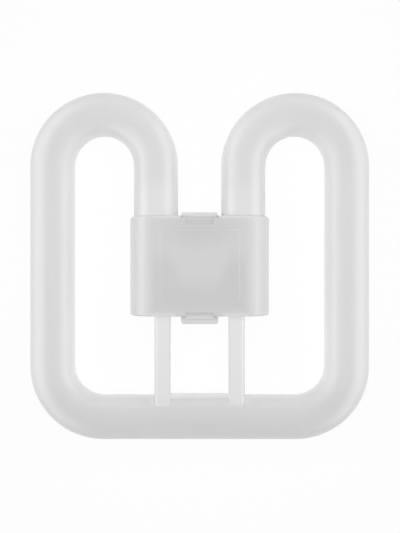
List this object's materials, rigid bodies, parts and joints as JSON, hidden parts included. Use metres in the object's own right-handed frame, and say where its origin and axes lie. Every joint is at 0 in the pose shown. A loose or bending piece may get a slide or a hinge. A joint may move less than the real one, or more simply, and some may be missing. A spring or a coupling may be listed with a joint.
{
  "type": "square compact fluorescent lamp",
  "caption": "Flat square compact fluorescent lamp: a folded opal glass tube in a moulded plug-in cap with contact pins at the rear and struts that steady its bottom run.",
  "frame": {"origin": "middle of the rear face of the cap, on which the lamp lies", "axes": "+X across the lamp, +Y from the straight bottom run of the tube to the two arches, +Z from the rear face of the cap to its front"},
  "size_m": [0.138, 0.141, 0.0275],
  "materials": {
    "opal_glass": "opal white coating inside smooth glass",
    "cap_plastic": "white moulded, semi-gloss",
    "pin_brass": "bright drawn",
    "seal_silicone": "white silicone",
    "lead_wire": "tinned",
    "starter_glass": "clear",
    "capacitor_coat": "dipped coating"
  },
  "bodies": {
    "root": {"discharge_tube": "opal_glass", "front_cover": "cap_plastic", "rear_housing": "cap_plastic", "contact_pin_left": "pin_brass", "contact_pin_right": "pin_brass", "tube_seal_left": "seal_silicone", "tube_seal_right": "seal_silicone", "pin_lead_left": "lead_wire", "pin_lead_right": "lead_wire", "starter_lead_left": "lead_wire", "starter_lead_right": "lead_wire", "starter_bulb": "starter_glass", "suppressor_capacitor": "capacitor_coat"}
  },
  "joints": []
}
